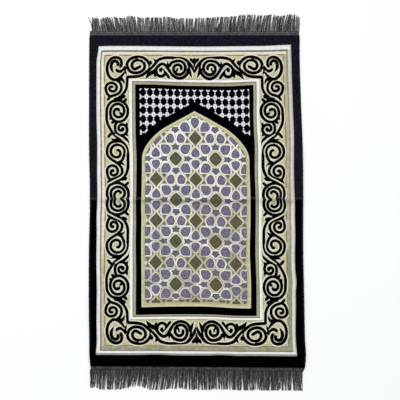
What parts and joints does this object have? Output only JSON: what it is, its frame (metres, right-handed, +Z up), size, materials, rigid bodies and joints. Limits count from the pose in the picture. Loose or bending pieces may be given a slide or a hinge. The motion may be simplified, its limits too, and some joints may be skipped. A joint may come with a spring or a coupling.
{
  "type": "prayer rug",
  "caption": "Flat woven prayer rug with a pointed niche, ornamental borders and a fringe along both short ends.",
  "frame": {"origin": "on the floor under the middle of the whole rug, fringes included", "axes": "+Z up out of the pile, +Y along the rug to the end that the niche points to, +X across"},
  "size_m": [0.6912, 1.2, 0.0061],
  "materials": {
    "pile_cloth": "black pile pattern on a matte straw and ivory woven ground",
    "top_fringe_yarn": "charcoal yarn, slightly lustrous",
    "bottom_fringe_yarn": "charcoal yarn, slightly lustrous"
  },
  "bodies": {
    "root": {"rug": "pile_cloth", "fringe_top": "top_fringe_yarn", "fringe_bottom": "bottom_fringe_yarn"}
  },
  "joints": []
}
